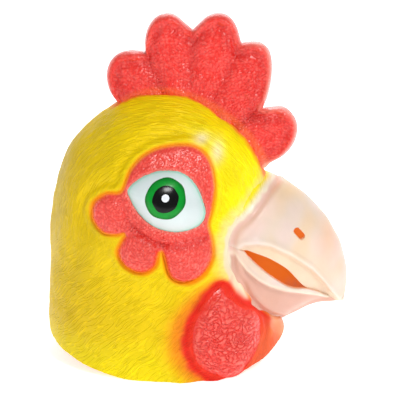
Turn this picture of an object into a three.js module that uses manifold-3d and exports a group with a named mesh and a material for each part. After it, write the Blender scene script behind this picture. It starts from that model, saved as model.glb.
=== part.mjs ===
// A latex over-the-head rooster mask: a hood that is open at the neck, a hooked beak that can be
// seen and breathed through, a five-lobed comb with a foam core, and a painted eye, a red eye
// patch and a wattle on each side. Millimetres, +Z up, the beak points along +X.
import * as THREE from 'three';
import { mergeVertices } from 'three/addons/utils/BufferGeometryUtils.js';
import Module from 'manifold-3d';

const wasm = await Module();
wasm.setup();

// ---------------------------------------------------------------- driving sizes
const HEAD_HEIGHT = 287; // hem to crown
const HEAD_REAR = 104; // ear line to the back of the neck
const HEAD_FRONT = 160; // ear line to the front of the hem
const HEAD_WIDTH = 210; // across the widest ring, at the hem
const HEM_RISE = 26; // front and back of the hem over its sides, which it rests on
const SKIN = 3; // latex wall
const TOUCH = 0.3; // gap between pieces that rest on each other

const BEAK_REACH = 132; // mouth corner line to the tip of the hook
const BEAK_WIDTH = 136; // across the widest section of the beak
const MOUTH_OPENING = 1; // share of the drawn height of the slit
const BEAK_SEAM = 0.8; // between the upper and lower beak, ahead of the slit
const JAW_SWING = 3; // degrees that the lower beak gives when it is pulled down
const NOSTRIL = { x: 171, z: 141, length: 16, width: 8, slope: -45 }; // its slope is in degrees

const COMB_LENGTH = 206; // back of the rear lobe to the front of the front lobe
const COMB_HEIGHT = 168; // lowest root point to the highest lobe
const COMB_THICKNESS = 34;
const COMB_EDGE = 6; // rounding of the lobes' edges
const COMB_SWAY = 8; // degrees that the comb flops to each side

const EYE = { width: 80, height: 62, rim: 4.5, bulge: 10 };
const IRIS = { radius: 20, thickness: 1.2 };
const PUPIL = { radius: 14, thickness: 1.0 };
const CATCHLIGHT = { radius: 4.5, thickness: 1.0 };
const PATCH = { width: 125, height: 139, rim: 1.5, bulge: 4.5 };
const WATTLE = { width: 94, height: 94, rim: 1.5, bulge: 9, hemGap: 2 };

// The head is drawn at these sizes, and every drawn point is scaled from them to the driving sizes.
const DRAWN = { height: 287, rear: 104, front: 160, width: 210 };
const BEAK_DRAWN = { root: 96, reach: 132, width: 136 };

const headX = (x) => (x < 0 ? (x * HEAD_REAR) / DRAWN.rear : (x * HEAD_FRONT) / DRAWN.front);
const headZ = (z) => (z * HEAD_HEIGHT) / DRAWN.height;
const mix = THREE.MathUtils.lerp;

// ---------------------------------------------------------------- solids
// How finely each form is made: rings along it and facets around it.
const HOOD_GRID = { rings: 16, around: 36 };
const BEAK_GRID = { rings: 14, around: 24 };
const EYE_GRID = { rings: 5, around: 28 };
const PATCH_GRID = { rings: 4, around: 44 };
const WATTLE_GRID = { rings: 4, around: 28 };
const LOBE_STEPS = 7; // facets along each lobe of the comb
const DISC_STEPS = 20; // facets around the iris, the pupil and the catchlight

function solid(geometry) {
  const bare = geometry.clone();
  bare.deleteAttribute('normal');
  bare.deleteAttribute('uv');
  const merged = mergeVertices(bare, 1e-4);
  return new wasm.Manifold(new wasm.Mesh({
    numProp: 3,
    vertProperties: new Float32Array(merged.attributes.position.array),
    triVerts: new Uint32Array(merged.index.array),
  }));
}

function geometryOf(manifold) {
  const { vertProperties, triVerts } = manifold.getMesh();
  const geometry = new THREE.BufferGeometry();
  geometry.setAttribute('position', new THREE.BufferAttribute(vertProperties, 3));
  geometry.setIndex(new THREE.BufferAttribute(triVerts, 1));
  geometry.computeVertexNormals();
  return geometry;
}

// A closed cone of rings with every point moved: place(s, turn, inside) gives the place of the
// point s from the apex (0) to the rim (1) at this turn (0 to 1); inside is true for the middle
// of the face that closes the rim.
function bentCone(rings, around, place) {
  const geometry = new THREE.ConeGeometry(1, 1, around, rings);
  const position = geometry.attributes.position;
  for (let i = 0; i < position.count; i++) {
    const s = 0.5 - position.getY(i);
    const radius = Math.hypot(position.getX(i), position.getZ(i));
    const turn = Math.atan2(position.getX(i), position.getZ(i)) / (2 * Math.PI);
    const inside = s > 0.999 && radius < 0.5;
    const { x, y, z } = place(s, (turn + 1) % 1, inside);
    position.setXYZ(i, x, y, z);
  }
  return solid(geometry);
}

// The same, turned the right way out when the placing has mirrored it.
function outward(manifold) {
  if (manifold.volume() > 0) return manifold;
  const { vertProperties, triVerts } = manifold.getMesh();
  for (let i = 0; i < triVerts.length; i += 3) {
    [triVerts[i], triVerts[i + 1]] = [triVerts[i + 1], triVerts[i]];
  }
  return new wasm.Manifold(new wasm.Mesh({ numProp: 3, vertProperties, triVerts }));
}

// What a solid fills as it swings about an axis by each of these angles, in degrees.
function swung(manifold, { origin, axis }, angles) {
  const toOrigin = new THREE.Matrix4().makeTranslation(origin.clone().negate());
  return angles.map((angle) => {
    const turn = new THREE.Matrix4().makeRotationAxis(axis, THREE.MathUtils.degToRad(angle));
    turn.multiply(toOrigin).premultiply(new THREE.Matrix4().makeTranslation(origin));
    return solid(geometryOf(manifold).applyMatrix4(turn));
  }).reduce((whole, form) => whole.add(form));
}

// Smooth values between rows of numbers; the first number of a row is its place.
function between(rows, at) {
  let i = rows.findIndex((row) => row[0] > at) - 1;
  if (i < 0) i = at <= rows[0][0] ? 0 : rows.length - 2;
  const row = (k) => rows[THREE.MathUtils.clamp(k, 0, rows.length - 1)];
  const [a, b] = [row(i), row(i + 1)];
  const span = b[0] - a[0];
  const f = (at - a[0]) / span;
  return a.map((_, c) => {
    const slopeA = i > 0 ? (b[c] - row(i - 1)[c]) / (b[0] - row(i - 1)[0]) : (b[c] - a[c]) / span;
    const slopeB = i < rows.length - 2
      ? (row(i + 2)[c] - a[c]) / (row(i + 2)[0] - a[0])
      : (b[c] - a[c]) / span;
    const [f2, f3] = [f * f, f * f * f];
    return (2 * f3 - 3 * f2 + 1) * a[c] + (f3 - 2 * f2 + f) * span * slopeA
      + (3 * f2 - 2 * f3) * b[c] + (f3 - f2) * span * slopeB;
  });
}

// ---------------------------------------------------------------- hood
// Rings of the hood from crown to hem: how far down the skin, then the ring's back, front and
// widest point along X, its half width, how square it is and how much the cheeks taper.
const CROWN_EASE = 1.75; // rings crowd towards the crown as height = 1 - s ** CROWN_EASE
const down = (z) => (1 - z / DRAWN.height) ** (1 / CROWN_EASE);
const HOOD_RINGS = [
  [down(287), 26, 26, 26, 0, 2, 0],
  [down(278), -14, 64, 22, 29, 2, 0.05],
  [down(265), -41.5, 88, 18, 50, 2, 0.1],
  [down(245), -65, 112, 16, 69, 2, 0.15],
  [down(220), -81, 128, 16, 84, 2.05, 0.2],
  [down(190), -91, 137, 18, 93, 2.1, 0.27],
  [down(150), -97.5, 138, 22, 98, 2.15, 0.29],
  [down(100), -100, 138, 30, 100, 2.2, 0.22],
  [down(45), -103, 148, 40, 103, 2.2, 0.08],
  [down(0), -104, 160, 45, 105, 2.2, 0],
];

function hoodRing(s) {
  const [, back, front, middle, half, square, taper] = between(HOOD_RINGS, s);
  return {
    z: HEAD_HEIGHT * (1 - s ** CROWN_EASE),
    back: headX(back),
    front: headX(front),
    middle: headX(middle),
    half: (half * HEAD_WIDTH) / DRAWN.width,
    square,
    taper,
  };
}

// The hem rises from a flat stretch on each side to the front and the back; the skin above it
// follows, less and less.
const HEM_FLAT = 0.1; // where the rise starts, as the squared cosine of the turn
const HEM_EASE = 6;

function hemLift(s, turn) {
  const out = (Math.cos(2 * Math.PI * turn) ** 2 - HEM_FLAT) / (1 - HEM_FLAT);
  return HEM_RISE * Math.max(out, 0) * s ** HEM_EASE;
}

const power = (value, exponent) => Math.sign(value) * Math.abs(value) ** exponent;

// A point of the hood's surface, grown outwards by this much.
function hoodPoint(s, turn, grow) {
  const ring = hoodRing(s);
  const [c, q] = [Math.cos(2 * Math.PI * turn), Math.sin(2 * Math.PI * turn)];
  const along = power(c, 2 / ring.square);
  const reach = c > 0 ? ring.front - ring.middle : ring.middle - ring.back;
  const width = ring.half * power(q, 2 / ring.square) * (1 - ring.taper * Math.max(along, 0));
  const spread = Math.min(1, s * 3);
  return new THREE.Vector3(
    ring.middle + reach * along + grow * c * spread,
    width + grow * q * spread,
    ring.z + grow * Math.max(0, 1 - s * 1.3) + hemLift(s, turn),
  );
}

// Half the hood's width at this place of its side.
function hoodSide(x, z) {
  const ring = hoodRing((1 - THREE.MathUtils.clamp(z / HEAD_HEIGHT, 0, 1)) ** (1 / CROWN_EASE));
  const reach = x > ring.middle ? ring.front - ring.middle : ring.middle - ring.back;
  const along = THREE.MathUtils.clamp((x - ring.middle) / reach, -1, 1);
  return ring.half * (1 - Math.abs(along) ** ring.square) ** (1 / ring.square)
    * (1 - ring.taper * Math.max(along, 0));
}

// The whole hood as one filled form, grown by this much and run on below the hem.
function hoodForm(grow, below = 0) {
  return outward(bentCone(HOOD_GRID.rings, HOOD_GRID.around, (s, turn, inside) => {
    const point = inside
      ? new THREE.Vector3(headX(HOOD_RINGS.at(-1)[3]), 0, 0)
      : hoodPoint(s, turn, grow);
    if (s > 0.999) point.z -= below;
    return point;
  }));
}

// ---------------------------------------------------------------- beak
// Sections of the beak from the tip of the hook to the root inside the hood: the ridge (x, z),
// the keel (x, z) and the half width.
const BEAK_SECTIONS = [
  [0.0, 227, 54, 227, 54, 0],
  [0.07, 229, 80, 216, 53.5, 10],
  [0.2, 226, 104, 207, 53, 18],
  [0.35, 218, 128, 199, 52, 27],
  [0.5, 202, 154, 187, 48, 37],
  [0.65, 175, 181, 170, 39, 49],
  [0.8, 139, 201, 152, 30, 61],
  [0.9, 112, 206, 136, 24, 68],
  [1.0, 84, 200, 118, 26, 68],
];

const beakX = (x) => headX(BEAK_DRAWN.root) + ((x - BEAK_DRAWN.root) * BEAK_REACH) / BEAK_DRAWN.reach;

function beakForm(grow) {
  return outward(bentCone(BEAK_GRID.rings, BEAK_GRID.around, (s, turn, inside) => {
    const [, ridgeX, ridgeZ, keelX, keelZ, half] = between(BEAK_SECTIONS, s);
    const ridge = new THREE.Vector3(beakX(ridgeX), 0, headZ(ridgeZ));
    const keel = new THREE.Vector3(beakX(keelX), 0, headZ(keelZ));
    const middle = ridge.clone().add(keel).multiplyScalar(0.5);
    const up = ridge.clone().sub(keel).multiplyScalar(0.5);
    if (inside) return middle;
    if (s < 1e-6) return middle.add(new THREE.Vector3(0, 0, -grow));
    const width = (half * BEAK_WIDTH) / BEAK_DRAWN.width + grow;
    const angle = 2 * Math.PI * turn;
    return middle
      .addScaledVector(up, Math.cos(angle) * (1 + grow / up.length()))
      .add(new THREE.Vector3(0, Math.sin(angle) * width, 0));
  }));
}

// A flat outline in the side view, carried right across the mask.
function acrossMask(points) {
  const shape = new THREE.Shape(points.map(([x, z]) => new THREE.Vector2(x, z)));
  const geometry = new THREE.ExtrudeGeometry(shape, { depth: 2 * HEAD_WIDTH, bevelEnabled: false });
  geometry.rotateX(Math.PI / 2).translate(0, HEAD_WIDTH, 0);
  return outward(solid(geometry));
}

// The line between the two halves of the beak, from behind its root to beyond the tip, and how
// far the mouth slit opens above and below it.
const MOUTH_LINE = [
  [60, 150, 0, 0],
  [109, 131, 0, 0],
  [116, 127, 2.5, 3],
  [125, 120.5, 5.5, 5.5],
  [140, 110, 9, 9],
  [158, 96.4, 9.6, 9.6],
  [170, 87, 5, 5.5],
  [180, 80, 0.5, 0.5],
  [194, 73, 0, 0],
  [212, 60, 0, 0],
  [260, 24, 0, 0],
];

function mouthEdge(side) {
  return MOUTH_LINE.map(([x, z, above, below]) => {
    const open = side > 0 ? above : -below;
    return [beakX(x), headZ(z) + open * MOUTH_OPENING + (side * BEAK_SEAM) / 2];
  });
}

// The lower beak gives about a line across the mask, just behind the corners of the mouth.
const JAW_HINGE = {
  origin: new THREE.Vector3(beakX(97), 0, headZ(130)),
  axis: new THREE.Vector3(0, 1, 0),
};

function beakHalves() {
  const shell = beakForm(0).subtract(beakForm(-SKIN));
  const far = 3 * HEAD_HEIGHT;
  const upperLimit = mouthEdge(1);
  const lowerLimit = mouthEdge(-1);
  const [first, last] = [upperLimit[0][0], upperLimit.at(-1)[0]];
  const belowMouth = acrossMask([...upperLimit, [last, -far], [first, -far]]);
  const aboveMouth = acrossMask([...lowerLimit, [last, far], [first, far]]);
  return {
    upper: shell.subtract(belowMouth).subtract(hoodForm(TOUCH)).subtract(nostrilForm()),
    lower: shell.subtract(aboveMouth)
      .subtract(swung(hoodForm(TOUCH), JAW_HINGE, [0, -JAW_SWING])),
  };
}

// A slit with round ends, right across the upper beak.
function nostrilForm() {
  const straight = NOSTRIL.length - NOSTRIL.width;
  const geometry = new THREE.CapsuleGeometry(NOSTRIL.width / 2, straight, 3, 10);
  geometry.scale(1, 1, (1.2 * BEAK_WIDTH) / NOSTRIL.width);
  geometry.rotateZ(THREE.MathUtils.degToRad(90 + NOSTRIL.slope));
  geometry.rotateX(Math.PI / 2);
  geometry.translate(beakX(NOSTRIL.x), 0, headZ(NOSTRIL.z));
  return outward(solid(geometry));
}

// ---------------------------------------------------------------- comb
// The lobes from the rear one to the front one; each runs from notch to notch.
const COMB_LOBES = [
  [[-22, 272], [-37, 290], [-36, 314], [-15, 330], [3, 332]],
  [[3, 332], [4, 349], [23, 371], [44, 363], [55, 355]],
  [[55, 355], [66, 367], [84, 371], [99, 360], [105, 343]],
  [[105, 343], [121, 342], [135, 334], [138, 306], [133, 276]],
  [[133, 276], [156, 271], [168, 250], [159, 224], [138, 205]],
];
const COMB_DRAWN = { back: -38, length: 206, root: 203, height: 168 };

function combOutline() {
  return COMB_LOBES.flatMap((lobe) => {
    const curve = new THREE.SplineCurve(lobe.map(([x, z]) => new THREE.Vector2(
      headX(COMB_DRAWN.back) + ((x - COMB_DRAWN.back) * COMB_LENGTH) / COMB_DRAWN.length,
      headZ(COMB_DRAWN.root) + ((z - COMB_DRAWN.root) * COMB_HEIGHT) / COMB_DRAWN.height,
    )));
    return curve.getPoints(LOBE_STEPS).slice(0, -1);
  }).concat(new THREE.Vector2(headX(128), headZ(196)), new THREE.Vector2(headX(-12), headZ(258)));
}

// The comb flops sideways about a line through the crown, between its rear and front roots.
const COMB_HINGE = {
  origin: new THREE.Vector3(headX(64), 0, headZ(257)),
  axis: new THREE.Vector3(headX(136) - headX(-22), 0, headZ(206) - headZ(274)).normalize(),
};

// The outline drawn in by this much all round.
function drawnIn(points, inset) {
  return points.map((point, i) => {
    const before = points[(i + points.length - 1) % points.length];
    const after = points[(i + 1) % points.length];
    const along = after.clone().sub(before).normalize();
    return new THREE.Vector2(point.x + along.y * inset, point.y - along.x * inset);
  });
}

function combForm(inset) {
  const edge = Math.max(COMB_EDGE - inset, 1);
  const depth = COMB_THICKNESS - 2 * inset - 2 * edge;
  const shape = new THREE.Shape(drawnIn(combOutline(), inset));
  const geometry = new THREE.ExtrudeGeometry(shape, {
    depth,
    bevelThickness: edge,
    bevelSize: edge,
    bevelOffset: -edge,
    bevelSegments: 2,
  });
  geometry.rotateX(Math.PI / 2).translate(0, depth / 2, 0);
  return outward(solid(geometry));
}

// ---------------------------------------------------------------- pads on the side of the hood
// Hand-drawn outlines in the side view, fitted to their named width and height.
function outline(points, centre, width, height) {
  const box = new THREE.Box2().setFromPoints(points.map(([x, z]) => new THREE.Vector2(x, z)));
  const [middle, size] = [box.getCenter(new THREE.Vector2()), box.getSize(new THREE.Vector2())];
  const fitted = points.map(([x, z]) => new THREE.Vector3(
    centre[0] + ((x - middle.x) * width) / size.x,
    0,
    centre[1] + ((z - middle.y) * height) / size.y,
  ));
  return new THREE.CatmullRomCurve3(fitted, true, 'centripetal');
}

// A crowned pad on one side (-1 is the right, 1 the left): its height over the hood goes from rim
// to rim + bulge, and its wall runs straight in to a foot inside the head.
const FOOT = 4 * SKIN;

function padForm(side, curve, centre, { rim, bulge }, grow, { rings, around }) {
  const middle = new THREE.Vector3(centre[0], 0, centre[1]);
  return outward(bentCone(rings + 1, around, (s, turn, inside) => {
    const outer = Math.min(1, (s * (rings + 1)) / rings);
    const edge = curve.getPoint(turn);
    const step = edge.clone().sub(middle).setLength(grow);
    const point = middle.clone().lerp(edge.add(step), inside ? 0 : outer);
    const height = s > 0.999 ? -FOOT - grow : rim + bulge * (1 - outer ** 2) + grow;
    point.y = side * (hoodSide(point.x, point.z) + height);
    return point;
  }));
}

const EYE_CENTRE = [headX(33), headZ(188)];
const EYE_POINTS = [
  [-6, 200], [5, 211], [19, 217.5], [34, 219], [51, 215], [64, 201],
  [73, 176], [69, 163], [56, 157], [38, 157], [20, 164], [6, 176], [-2, 188],
];
const PATCH_CENTRE = [headX(19.5), headZ(173.5)];
const PATCH_POINTS = [
  [-12.5, 198], [-3, 219], [12, 234], [32, 241], [60, 240], [76, 226], [82, 200], [80, 178], [76, 161],
  [80, 143], [80, 124], [68, 108], [50, 104], [36, 110], [28, 133],
  [22, 121], [8, 115], [-9, 122], [-18, 138], [-17, 152],
  [-32, 155], [-43, 168], [-42, 184], [-28, 195],
];
const WATTLE_POINTS = [
  [90, 94], [74, 82], [62, 64], [57, 44], [60, 26], [70, 12], [87, 3], [106, 2],
  [122, 13], [132, 30], [134, 48], [127, 62], [114, 69], [99, 82],
];
const WATTLE_CENTRE = [headX(92), WATTLE.hemGap + WATTLE.height / 2];

const eyeCurve = outline(EYE_POINTS, EYE_CENTRE, EYE.width, EYE.height);
const patchCurve = outline(PATCH_POINTS, PATCH_CENTRE, PATCH.width, PATCH.height);
const wattleCurve = outline(WATTLE_POINTS, WATTLE_CENTRE, WATTLE.width, WATTLE.height);

// The painted iris sits a little over the middle of the eye.
const IRIS_RISE = 2;
const IRIS_CENTRE = [EYE_CENTRE[0], EYE_CENTRE[1] + IRIS_RISE];

function eyeForm(side, grow) {
  return padForm(side, eyeCurve, EYE_CENTRE, EYE, grow, EYE_GRID);
}

// A round layer of the painted eye, from this height over the eye's dome.
function eyeLayer(side, { radius, thickness }, lift) {
  const disc = new THREE.EllipseCurve(...IRIS_CENTRE, radius, radius).getPoints(DISC_STEPS).slice(0, -1);
  return acrossMask(disc.map(({ x, y }) => [x, y]))
    .intersect(eyeForm(side, lift + thickness))
    .subtract(eyeForm(side, lift));
}

function sidePieces(side) {
  const iris = eyeLayer(side, IRIS, TOUCH);
  const pupilLift = 2 * TOUCH + IRIS.thickness;
  const pupil = eyeLayer(side, PUPIL, pupilLift);
  const catchlight = eyeLayer(side, CATCHLIGHT, pupilLift + TOUCH + PUPIL.thickness);
  const pieces = {
    eye_patch: padForm(side, patchCurve, PATCH_CENTRE, PATCH, 0, PATCH_GRID)
      .subtract(eyeForm(side, TOUCH)),
    eye_white: eyeForm(side, 0),
    iris,
    pupil,
    catchlight,
    wattle: padForm(side, wattleCurve, WATTLE_CENTRE, WATTLE, 0, WATTLE_GRID),
  };
  const bare = hoodForm(TOUCH);
  return Object.entries(pieces).map(([name, piece]) => [name, piece.subtract(bare)]);
}

// ---------------------------------------------------------------- materials
function latex(color, roughness) {
  return new THREE.MeshStandardMaterial({ color, roughness, metalness: 0 });
}

const yellowLatex = latex(0xe8cb10, 0.45);
const redLatex = latex(0xf44f40, 0.45);
const creamLatex = latex(0xf0dcc8, 0.4);
const whiteEye = latex(0xdfe6e4, 0.12);
const greenEye = latex(0x0a8f3c, 0.12);
const blackEye = latex(0x0c0f0c, 0.1);
const foam = latex(0xd8d2c0, 0.95);

// ---------------------------------------------------------------- assembly
const mask = new THREE.Group();

function add(name, manifold, material, parent = mask) {
  const mesh = new THREE.Mesh(geometryOf(manifold), material);
  mesh.name = name;
  parent.add(mesh);
  return mesh;
}

const beak = beakHalves();
const hoodSkin = hoodForm(0).subtract(hoodForm(-SKIN, SKIN)).subtract(beakForm(-SKIN));
add('head_skin', hoodSkin, yellowLatex);
add('upper_beak', beak.upper, creamLatex);
add('lower_beak', beak.lower, creamLatex);

const swayAngles = [0, -COMB_SWAY, COMB_SWAY];
const combRoot = swung(hoodForm(TOUCH).add(beakForm(TOUCH)), COMB_HINGE, swayAngles);
add('comb_skin', combForm(0).subtract(combForm(SKIN)).subtract(combRoot), redLatex);
add('comb_foam_core', combForm(SKIN + TOUCH).subtract(combRoot), foam);

const sideMaterials = {
  eye_patch: redLatex,
  eye_white: whiteEye,
  iris: greenEye,
  pupil: blackEye,
  catchlight: whiteEye,
  wattle: redLatex,
};
for (const [side, suffix] of [[-1, 'right'], [1, 'left']]) {
  for (const [name, piece] of sidePieces(side)) {
    add(`${name}_${suffix}`, piece, sideMaterials[name]);
  }
}

// The origin is at the middle of the mask's footprint, on the surface that the hem rests on.
const box = new THREE.Box3().setFromObject(mask);
mask.position.set(-mix(box.min.x, box.max.x, 0.5), 0, -box.min.z);

export default mask;
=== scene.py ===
import math

import bpy
import numpy as np
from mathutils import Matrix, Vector


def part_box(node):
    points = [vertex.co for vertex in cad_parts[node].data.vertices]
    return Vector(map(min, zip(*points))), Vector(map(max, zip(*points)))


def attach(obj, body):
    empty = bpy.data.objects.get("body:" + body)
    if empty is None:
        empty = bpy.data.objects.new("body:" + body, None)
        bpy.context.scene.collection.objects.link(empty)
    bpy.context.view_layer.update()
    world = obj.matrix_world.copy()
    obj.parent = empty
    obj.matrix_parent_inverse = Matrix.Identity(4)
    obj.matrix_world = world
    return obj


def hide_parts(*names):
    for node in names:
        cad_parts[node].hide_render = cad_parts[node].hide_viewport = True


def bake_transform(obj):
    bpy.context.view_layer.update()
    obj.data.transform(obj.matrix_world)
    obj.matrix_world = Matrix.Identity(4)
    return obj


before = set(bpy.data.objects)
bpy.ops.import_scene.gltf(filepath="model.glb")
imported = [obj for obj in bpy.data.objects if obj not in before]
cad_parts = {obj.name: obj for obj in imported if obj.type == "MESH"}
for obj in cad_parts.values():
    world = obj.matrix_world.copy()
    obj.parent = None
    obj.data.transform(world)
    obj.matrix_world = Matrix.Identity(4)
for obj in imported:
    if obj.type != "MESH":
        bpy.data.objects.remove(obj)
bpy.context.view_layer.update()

# A latex rooster mask: a carved yellow hood, a hooked cream beak, a pebbled red comb, and on each
# side a red eye patch, a glossy painted eye and a wattle. All drawing is in millimetres with x = 0
# at the ear line and z = 0 at the hem, and in_frame() puts it where the frame has the hood.

hood_low, hood_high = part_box("head_skin")
REAR = 104.0  # ear line to the back of the neck
EAR_LINE = hood_low.x * 1000 + REAR
HEIGHT = hood_high.z * 1000
WALL = 3.0


def in_frame(points):
    return (np.asarray(points, float) + [EAR_LINE, 0, 0]) / 1000


# ------------------------------------------------------------------ number helpers
def smooth(low, high, value):
    t = np.clip((value - low) / (high - low), 0, 1)
    return t * t * (3 - 2 * t)


def bump(distance, width):
    return np.exp(-((distance / width) ** 2))


def between(rows, at):
    """Smooth values between rows of numbers; the first number of a row is its place."""
    rows = np.array(rows, float)
    place, values = rows[:, 0], rows[:, 1:]
    slope = np.empty_like(values)
    slope[1:-1] = (values[2:] - values[:-2]) / (place[2:] - place[:-2])[:, None]
    slope[0] = (values[1] - values[0]) / (place[1] - place[0])
    slope[-1] = (values[-1] - values[-2]) / (place[-1] - place[-2])
    at = np.asarray(at, float)
    i = np.clip(np.searchsorted(place, at, "right") - 1, 0, len(place) - 2)
    span = (place[i + 1] - place[i])[..., None]
    f = (at - place[i])[..., None] / span
    low = (2 * f**3 - 3 * f**2 + 1) * values[i] + (f**3 - 2 * f**2 + f) * span * slope[i]
    high = (3 * f**2 - 2 * f**3) * values[i + 1] + (f**3 - f**2) * span * slope[i + 1]
    return low + high


def curve_through(points, closed, steps):
    """A smooth curve through given points, evenly stepped along its length."""
    points = np.array(points, float)
    ring = np.vstack([points, points[:1]]) if closed else points
    length = np.concatenate([[0], np.cumsum(np.sqrt(np.linalg.norm(np.diff(ring, axis=0), axis=1)))])
    rows = np.column_stack([length, ring])
    if closed:
        before = np.column_stack([length[-3:-1] - length[-1], ring[-3:-1]])
        after = np.column_stack([length[1:3] + length[-1], ring[1:3]])
        rows = np.vstack([before, rows, after])
    fine = between(rows, np.linspace(0, length[-1], 2000))
    run = np.concatenate([[0], np.cumsum(np.linalg.norm(np.diff(fine, axis=0), axis=1))])
    wanted = np.linspace(0, run[-1], steps, endpoint=not closed)
    return np.column_stack([np.interp(wanted, run, fine[:, k]) for k in range(fine.shape[1])])


def from_line(x, z, line):
    """Distance from each point to a line of points in the side view."""
    nearest = np.full(np.shape(x), 1e9)
    for (ax, az), (bx, bz) in zip(line[:-1], line[1:]):
        along = ((x - ax) * (bx - ax) + (z - az) * (bz - az)) / ((bx - ax) ** 2 + (bz - az) ** 2)
        along = np.clip(along, 0, 1)
        nearest = np.minimum(nearest, np.hypot(x - ax - along * (bx - ax), z - az - along * (bz - az)))
    return nearest


def from_outline(x, z, ring):
    """The same for a closed outline, negative inside it."""
    inside = np.zeros(np.shape(x), bool)
    for (ax, az), (bx, bz) in zip(ring, np.roll(ring, -1, axis=0)):
        crosses = (az > z) != (bz > z)
        with np.errstate(divide="ignore", invalid="ignore"):
            inside ^= crosses & (x < ax + (z - az) * (bx - ax) / (bz - az))
    distance = from_line(x, z, np.vstack([ring, ring[:1]]))
    return np.where(inside, -distance, distance)


def waves(points, size, seed, count=18):
    """Smooth noise between about -1 and 1 with lumps of this size."""
    draw = np.random.default_rng(seed)
    direction = draw.normal(size=(count, 3))
    direction *= (2 * math.pi / size) * draw.uniform(0.7, 1.4, (count, 1)) / np.linalg.norm(
        direction, axis=1, keepdims=True)
    phase = draw.uniform(0, 2 * math.pi, count)
    total = np.zeros(points.shape[:-1])
    for k in range(count):
        total += np.sin(points @ direction[k] + phase[k])
    return total * math.sqrt(2 / count) / 2


def pebbles(points, size, seed):
    """Rounded grains with creases between them, from 0 in a crease to 1 on a grain."""
    field = waves(points, size, seed) + 0.35 * waves(points, size / 2, seed + 1)
    return np.clip(1 - np.exp(-3 * np.abs(field)), 0, 1)


def colour(red, green, blue):
    """A display colour from 0 to 255 as a linear one."""
    c = np.array([red, green, blue]) / 255
    return np.where(c < 0.04045, c / 12.92, ((c + 0.055) / 1.055) ** 2.4)


def tint(paint, amount, to):
    """Mixes a colour over a paint array."""
    amount = np.asarray(amount)[..., None]
    return paint * (1 - amount) + to * amount


# ------------------------------------------------------------------ meshes
def grid_faces(rows, columns, wrap=False, start=0, flip=False):
    """Quads of a grid of points numbered row by row."""
    i, j = np.meshgrid(np.arange(rows - 1), np.arange(columns if wrap else columns - 1), indexing="ij")
    k = (j + 1) % columns
    quads = np.stack([i * columns + j, i * columns + k, (i + 1) * columns + k, (i + 1) * columns + j], -1)
    quads = quads.reshape(-1, 4) + start
    return (quads[:, ::-1] if flip else quads).tolist()


def fan_faces(apex, ring, flip=False):
    faces = [[apex, a, b] for a, b in zip(ring[:-1], ring[1:])]
    return [face[::-1] for face in faces] if flip else faces


def zip_faces(a, b, flip=False):
    """Triangles between two runs of points with different counts."""
    faces, j = [], 0
    for i in range(len(a) - 1):
        target = round((i + 1) * (len(b) - 1) / (len(a) - 1))
        faces.append([a[i], a[i + 1], b[j]])
        while j < target:
            faces.append([a[i + 1], b[j + 1], b[j]])
            j += 1
    return [face[::-1] for face in faces] if flip else faces


def make_object(name, points, faces):
    mesh = bpy.data.meshes.new(name)
    mesh.from_pydata(in_frame(points).tolist(), [], faces)
    mesh.validate()
    piece = bpy.data.objects.new(name, mesh)
    bpy.context.scene.collection.objects.link(piece)
    return piece


def points_of(piece):
    flat = np.empty(len(piece.data.vertices) * 3)
    piece.data.vertices.foreach_get("co", flat)
    return flat.reshape(-1, 3) * 1000 - [EAR_LINE, 0, 0]


def outward(piece):
    """Turns a closed mesh the right way out if its faces point in."""
    mesh = piece.data
    mesh.calc_loop_triangles()
    corners = np.empty(len(mesh.loop_triangles) * 3, int)
    mesh.loop_triangles.foreach_get("vertices", corners)
    p = points_of(piece)[corners.reshape(-1, 3)]
    if np.einsum("ij,ij->i", p[:, 0], np.cross(p[:, 1], p[:, 2])).sum() < 0:
        mesh.flip_normals()
    return piece


def combine(piece, operation, *tools):
    """Cuts or trims a piece with closed tools, which are used up."""
    for tool in tools:
        cut = piece.modifiers.new("cut", "BOOLEAN")
        cut.operation = operation
        cut.solver = "MANIFOLD"
        cut.object = tool
        bpy.context.view_layer.update()
        result = bpy.data.meshes.new_from_object(piece.evaluated_get(bpy.context.evaluated_depsgraph_get()))
        piece.modifiers.clear()
        piece.data = result
        bpy.data.objects.remove(tool)
    piece.data.name = piece.name
    return piece


def store(piece, name, values):
    """Keeps one value or colour for each vertex, for the piece's material."""
    if np.ndim(values) == 1:
        layer = piece.data.attributes.get(name) or piece.data.attributes.new(name, "FLOAT", "POINT")
        layer.data.foreach_set("value", np.asarray(values, np.float32))
        return
    layer = piece.data.attributes.new(name, "FLOAT_VECTOR", "POINT")
    layer.data.foreach_set("vector", np.asarray(values, np.float32).ravel())


def stored(piece, name):
    values = np.empty(len(piece.data.vertices), np.float32)
    piece.data.attributes[name].data.foreach_get("value", values)
    return values


def finished(piece, material, body, slot, *nodes):
    piece.data.materials.clear()
    piece.data.materials.append(material)
    piece.data.polygons.foreach_set("use_smooth", [True] * len(piece.data.polygons))
    if body:
        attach(piece, body)
    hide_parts(*nodes)
    return piece


# ------------------------------------------------------------------ the hood's form
CROWN_EASE = 1.75  # rings crowd towards the crown as height = 1 - s ** CROWN_EASE


def down(z):
    return (1 - np.clip(np.asarray(z, float) / 287.0, 0, 1)) ** (1 / CROWN_EASE)


# How far down the skin, then a ring's back, front and widest point along X, its half width, how
# square it is and how much the cheeks taper.
HOOD_RINGS = [(down(z), *ring) for z, *ring in [
    (287, 26, 26, 26, 0, 2, 0),
    (278, -14, 64, 22, 29, 2, 0.05),
    (265, -41.5, 88, 18, 50, 2, 0.1),
    (245, -65, 112, 16, 69, 2, 0.15),
    (220, -81, 128, 16, 84, 2.05, 0.2),
    (190, -91, 137, 18, 93, 2.1, 0.27),
    (150, -97.5, 138, 22, 98, 2.15, 0.29),
    (100, -100, 138, 30, 100, 2.2, 0.22),
    (45, -103, 148, 40, 103, 2.2, 0.08),
    (0, -104, 160, 45, 105, 2.2, 0),
]]


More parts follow.
